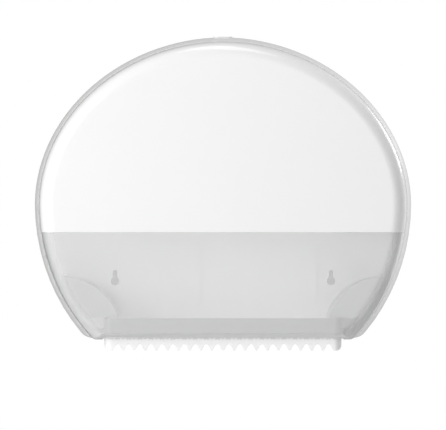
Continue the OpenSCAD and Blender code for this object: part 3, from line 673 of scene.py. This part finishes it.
# %% The bar as a curtain
def bar_plan(inset):
    """Places along the bar's plan, from the left wall side to the right: across, out."""
    half, front, r = bar_half - inset, bar_front - inset, bar_corner_r - inset
    side = [(-half, out) for out in np.linspace(plate_t, front - r, 12)[:-1]]
    corner = [(-half + r + r * math.cos(a), front - r + r * math.sin(a))
              for a in np.linspace(math.pi, math.pi / 2, 12)]
    straight = [(x, front) for x in edge_x if abs(x) < half - r - join_gap]
    left = side + corner
    return left + straight + [(-x, out) for x, out in left[::-1]]


def curtain():
    """Outer and inner skin of the bar, closed along the top, the edge and the wall side."""
    outer, inner = bar_plan(0), bar_plan(bar_t)
    skins = ([], [])
    for level in levels:
        for (xo, zo), (xi, zi) in zip(outer, inner):
            low_o, low_i = np.interp(xo, lower_x, lower_y), np.interp(xi, lower_x, lower_y)
            yo, yi = bar_top + (low_o - bar_top) * level, bar_top + (low_i - bar_top) * level
            thin = np.clip((bar_low + bevel_h - yi) / bevel_h, 0, 1) * (bar_t - edge_t)
            front = zi > bar_front - bar_t - hair
            skins[0].append((xo, yo, zo))
            skins[1].append((xi, yi, zi + (thin if front else 0)))
    rows, columns = len(levels), len(outer)
    base = rows * columns
    faces = grid(rows, columns) + [tuple(reversed(f)) for f in grid(rows, columns, base)]
    for c in range(columns - 1):
        last = (rows - 1) * columns + c
        faces.append((c + 1, c, base + c, base + c + 1))
        faces.append((last, last + 1, base + last + 1, base + last))
    for r in range(rows - 1):
        a, b = r * columns, (r + 1) * columns - 1
        faces.append((a, a + columns, base + a + columns, base + a))
        faces.append((b + columns, b, base + b, base + b + columns))
    return skins[0] + skins[1], faces


bar = new_piece("tear_bar_blade", *curtain())
# Faces above this level get the darker second finish, a painted shade on the part behind the window.
shade_from = -base_drop + 1
for face in bar.data.polygons:
    face.material_index = int(face.center.z * 1000 > shade_from)
round_edges(bar, 0.22, 40)


# %% [markdown]
# ## Pieces that keep their CAD shape
# The remaining pieces already have their real shape in the CAD model, but its edges are
# knife-sharp. A copy of such a solid gets its flat faces merged and its edges rounded, and then
# stands for the node. Rounded edges catch a thin line of light, which is most of what makes a small
# moulded part look real.

# %% Rounded copies
def rounded_copy(node, name, width, angle, shape=None):
    """A copy of a CAD node with rounded edges. shape may change the copy's mesh first."""
    mesh = frame["nodes"][node].data.copy()
    tidy = bmesh.new()
    tidy.from_mesh(mesh)
    bmesh.ops.remove_doubles(tidy, verts=tidy.verts, dist=2e-6)
    bmesh.ops.dissolve_limit(tidy, angle_limit=math.radians(0.5), verts=tidy.verts, edges=tidy.edges)
    if shape:
        shape(tidy)
    tidy.to_mesh(mesh)
    tidy.free()
    mesh.name = name
    mesh.shade_smooth()
    piece = bpy.data.objects.new(name, mesh)
    scene.collection.objects.link(piece)
    return round_edges(piece, width, angle)


finishes = {
    "casing_white": casing_white, "guide_grey": guide_grey, "spindle_grey": spindle_grey,
    "dark_grey": dark_grey, "button_grey": button_grey, "brake_black": brake_black, "steel": steel}
node_slots = {part["node"]: part["material_slot"] for part in frame["record"]["subparts"]}
print("slots:", node_slots)

# %% [markdown]
# The casing is the tray against the wall, with its rim, the raised panels, the keyholes and the
# hinge barrels. Its rim is straight in the CAD model and bows a little in the picture, so it is cut
# into rings and each ring is moved. The paper guides are rounded pods in the two lower corners,
# which keep the sheet off the corners. The hinge pieces, the catch, the lock and the post follow in
# the same way. The table gives each copy's bevel in millimetres, and the angle above which an edge
# counts as sharp.

# %% A bowed rim for the casing
rim_taper, rim_wall, rim_reach = 5.6, 2.8, 1.2
rim_cuts = (4, 8, 13, 19, 26, 33, 40, 46)


def rim_outline(d):
    """The casing's outline, drawn in by d except along its flat bottom."""
    right = lower_right(d, 0, 0)
    return np.array(right[::-1] + upper_half(d)[1:-1] + mirrored(right))


def bow_rim(tidy):
    """Turns the straight draft of the casing's rim into a bow that starts square to the wall."""
    for cut in rim_cuts:
        geometry = tidy.verts[:] + tidy.edges[:] + tidy.faces[:]
        spot = (0, -cut / 1000, 0)
        bmesh.ops.bisect_plane(tidy, geom=geometry, dist=1e-6, plane_co=spot, plane_no=(0, 1, 0))
    rear, fore = rim_outline(0) / 1000, rim_outline(rim_taper) / 1000
    moved = 0
    for point in tidy.verts:
        share = -point.co.y * 1000 / rim_d
        if not 0 < share < 1:
            continue
        ring = rear + (fore - rear) * share
        gaps = np.hypot(ring[:, 0] - point.co.x, ring[:, 1] - point.co.z)
        near = int(gaps.argmin())
        if gaps[near] < (rim_wall + rim_reach) / 1000:
            step = (fore[near] - rear[near]) * (share * share - share)
            point.co.x += step[0]
            point.co.z += step[1]
            moved += 1
    print("rim points moved:", moved)


# %% Casing, guides and the other moulded pieces
body_of = {n: b for b, names in frame["record"]["behaviour"]["bodies"].items() for n in names}
copies = [
    ("back_plate", "casing_tray", 0.45, 30),
    ("guide_left", "paper_guide_left", 1.0, 50),
    ("guide_right", "paper_guide_right", 1.0, 50),
    ("main_hub", "spindle_hub", 0.5, 30),
    ("hub_cap", "spindle_cap", 0.3, 25),
    ("main_axle", "spindle_axle", 0.3, 30),
    ("stub_post", "stub_roll_post", 0.4, 40),
    ("cover_hinge_left", "hinge_arm_left", 0.3, 30),
    ("cover_hinge_right", "hinge_arm_right", 0.3, 30),
    ("cover_catch", "catch_hook", 0.3, 30),
    ("lock_housing", "lock_frame", 0.3, 30),
    ("lock_button", "push_button", 0.35, 30),
    ("axle_washer", "big_washer", 0.2, 30),
    ("axle_screw", "hex_socket_screw", 0.2, 30),
    ("fixing_screws", "cross_head_screws", 0.12, 30),
    ("hinge_pin_left", "pin_left", 0.2, 30),
    ("hinge_pin_right", "pin_right", 0.2, 30),
    ("brake_ring", "brake_washer", 0.2, 30)]
for node, name, width, angle in copies:
    piece = rounded_copy(node, name, width, angle, bow_rim if node == "back_plate" else None)
    wear(piece, body_of[node], node_slots[node], finishes[node_slots[node]], node)
# The tear bar's second finish is the painted shade above its teeth.
wear(bar, "casing", node_slots["tear_bar"], casing_white, "tear_bar", second=bar_painted_shade)


# %% [markdown]
# ## Springs
# Both springs are round steel wire. The CAD model has a coarse tube, so each is wound again as a curve with
# a round section: a helix with closed ends, where the last turn lies flat against its seat. A mesh helix
# with the screw modifier would also do, but a curve keeps the wire's section round at any turn.

# %% Wound springs
points_per_turn, end_turn, end_share, end_climb = 28, 0.75, 0.6, 0.02


def spring(name, turns, radius, wire, low, high, place):
    """A round-wire compression spring whose end turns lie flat.
    place turns a point of the helix into wall coordinates."""
    curve = bpy.data.curves.new(name, "CURVE")
    curve.dimensions = "3D"
    curve.bevel_depth = wire / 2000
    curve.bevel_resolution = 4
    line = curve.splines.new("POLY")
    count = int(turns * points_per_turn)
    flat = min(0.5, end_turn / turns) * end_share
    line.points.add(count)
    for k in range(count + 1):
        t = k / count
        climb = np.interp(t, [0, flat, 1 - flat, 1], [0, end_climb, 1 - end_climb, 1])
        height = low + wire / 2 + (high - low - wire) * climb
        a = 2 * math.pi * turns * t
        point = place(radius * math.cos(a), radius * math.sin(a), height)
        line.points[k].co = (*to_metres([point])[0], 1)
    curve.use_fill_caps = True
    piece = bpy.data.objects.new(name, curve)
    scene.collection.objects.link(piece)
    return settle_curve(piece)


def settle_curve(piece):
    """Turns a curve piece into a mesh piece of the same name."""
    name = piece.name
    mesh = bpy.data.meshes.new_from_object(piece.evaluated_get(bpy.context.evaluated_depsgraph_get()))
    bpy.data.objects.remove(piece)
    mesh.name = name
    mesh.shade_smooth()
    solid = bpy.data.objects.new(name, mesh)
    scene.collection.objects.link(solid)
    return solid


# %% The button's spring and the brake's spring
low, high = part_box("lock_spring")
button_out, press = 8.5, 0.004
lock_coil = spring("button_spring", 6, 3.0, 0.8, low.z * 1000, high.z * 1000,
                   lambda a, b, h: (a, h, button_out + b))
wear(lock_coil, "casing", "steel", steel, "lock_spring")
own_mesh(lock_coil)
low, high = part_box("brake_spring")
hub_x, hub_z = -42.0, 31.0
brake_coil = spring("brake_wave_spring", 1.5, 11.75, 1.0, -high.y * 1000, -low.y * 1000,
                    lambda a, b, h: (hub_x + a, hub_z + b, h))
wear(brake_coil, "casing", "steel", steel, "brake_spring")

# %% [markdown]
# ## Room, floor and light
# The picture has a plain white ground. The world looks white to the camera, at a strength of one.
# What it gives as light is a set of broad soft boxes, one for each side that the picture's tones
# call for. The floor is plain and pale, lies well below and keeps the shadow.

# %% Floor
def stage_material(name, colour):
    """Pale and matt."""
    material = bpy.data.materials.new(name)
    material.use_nodes = True
    shader = material.node_tree.nodes["Principled BSDF"]
    shader.inputs["Base Color"].default_value = (*colour, 1)
    shader.inputs["Roughness"].default_value = 0.9
    return material


reach, floor_low = 3000, -1200
floor_plan = ((-reach, -reach), (reach, -reach), (reach, reach), (-reach, reach))
floor_corners = [(x, floor_low, out) for x, out in floor_plan]
floor = new_piece("floor", floor_corners, [(0, 1, 2, 3)])
floor.data.materials.append(stage_material("floor", (0.9, 0.9, 0.9)))
floor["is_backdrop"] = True

# %% [markdown]
# The world is read in two ways. A camera ray that meets nothing sees plain white. A camera ray that
# has passed the window, for instance into a keyhole, sees a mid grey, as if the wall were there in
# the shade. All other rays see the soft boxes.

# %% World
world = bpy.data.worlds.new("studio")
world.use_nodes = True
scene.world = world
tree = world.node_tree
tree.nodes.clear()
output = tree.nodes.new("ShaderNodeOutputWorld")
seen, lit = tree.nodes.new("ShaderNodeBackground"), tree.nodes.new("ShaderNodeBackground")
direction = tree.nodes.new("ShaderNodeTexCoord")


def soft_box(towards, strength):
    """Light from one side, which fades away over about a quarter of the sky."""
    aim = tree.nodes.new("ShaderNodeVectorMath")
    aim.operation = "DOT_PRODUCT"
    aim.inputs[1].default_value = Vector(towards).normalized()
    tree.links.new(direction.outputs["Generated"], aim.inputs[0])
    near = maths(tree, "MAXIMUM", aim.outputs["Value"], 0.0)
    return maths(tree, "MULTIPLY", maths(tree, "POWER", near, falloff), strength)


falloff, base_light, wall_shade = 6.0, 0.02, 0.44
soft_boxes = [
    ((0, -1, 0), 1.45), ((-1, -1, 0), 0.80), ((-1, 0, 0), 0.70), ((-1, -1, -1), 0.65),
    ((0, -1, -1), 0.45), ((0, -1, 1), 0.25), ((0, 0, 1), 0.44), ((1, 0, 1), 0.80),
    ((1, 1, 0), 1.50), ((1, 1, 1), 0.90), ((0, 1, 0), 0.20)]
total = base_light
for towards, strength in soft_boxes:
    total = maths(tree, "ADD", soft_box(towards, strength), total)
path = tree.nodes.new("ShaderNodeLightPath")
open_view = maths(tree, "LESS_THAN", path.outputs["Transparent Depth"], 0.5)
white = maths(tree, "MULTIPLY", path.outputs["Is Camera Ray"], open_view)
behind = maths(tree, "SUBTRACT", path.outputs["Is Camera Ray"], white)
lit_side = maths(tree, "MULTIPLY", total, maths(tree, "SUBTRACT", 1.0, behind))
shade = maths(tree, "MULTIPLY", behind, wall_shade)
tree.links.new(maths(tree, "ADD", lit_side, shade), lit.inputs["Strength"])
seen.inputs["Color"].default_value = (1, 1, 1, 1)
choose = tree.nodes.new("ShaderNodeMixShader")
tree.links.new(white, choose.inputs["Fac"])
tree.links.new(lit.outputs["Background"], choose.inputs[1])
tree.links.new(seen.outputs["Background"], choose.inputs[2])
tree.links.new(choose.outputs["Shader"], output.inputs["Surface"])
print("soft boxes:", len(soft_boxes))

# %% [markdown]
# Five lamps do what the broad soft boxes can't. The key and the side lamp shade the front from left
# to right. The two strips leave the narrow lights along the top and the upper right edge of the
# cover, and a weak one lightens the tear bar from below.


# %% Lamps
def lamp(name, place, aim, width, height, watts):
    """A rectangular soft box that faces a point."""
    light = bpy.data.lights.new(name, "AREA")
    light.shape = "RECTANGLE"
    light.size, light.size_y = width, height
    light.energy = watts
    lamp_object = bpy.data.objects.new(name, light)
    scene.collection.objects.link(lamp_object)
    lamp_object.location = place
    lamp_object.rotation_euler = (Vector(aim) - Vector(place)).to_track_quat("-Z", "Y").to_euler()


lamp_rows = [
    ("key", (-1.3, -1.5, 0.5), (0, 0, 0), 1.0, 1.0, 15.5),
    ("side", (-1.8, -0.6, 0.3), (0, 0, 0), 1.0, 1.0, 6),
    ("overhead strip", (0.03, -0.1, 1.4), (0, -0.12, 0.17), 0.85, 0.45, 3.6),
    ("edge strip", (1.07, 1.07, 0.47), (0.19, -0.12, 0.06), 0.6, 0.45, 2.4),
    ("low fill", (0, -0.8, -1.1), (0, -0.05, -0.1), 1.0, 0.6, 1.3)]
for row in lamp_rows:
    lamp(*row)
scene.view_settings.view_transform = "Standard"

# %% [markdown]
# ## Final measurements
# The last cell measures the dressed model's visual box and prints its size.

# %% Measure the visual box
low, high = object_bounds()
print("visual box, mm:", [round(1000 * (b - a), 1) for a, b in zip(low, high)])
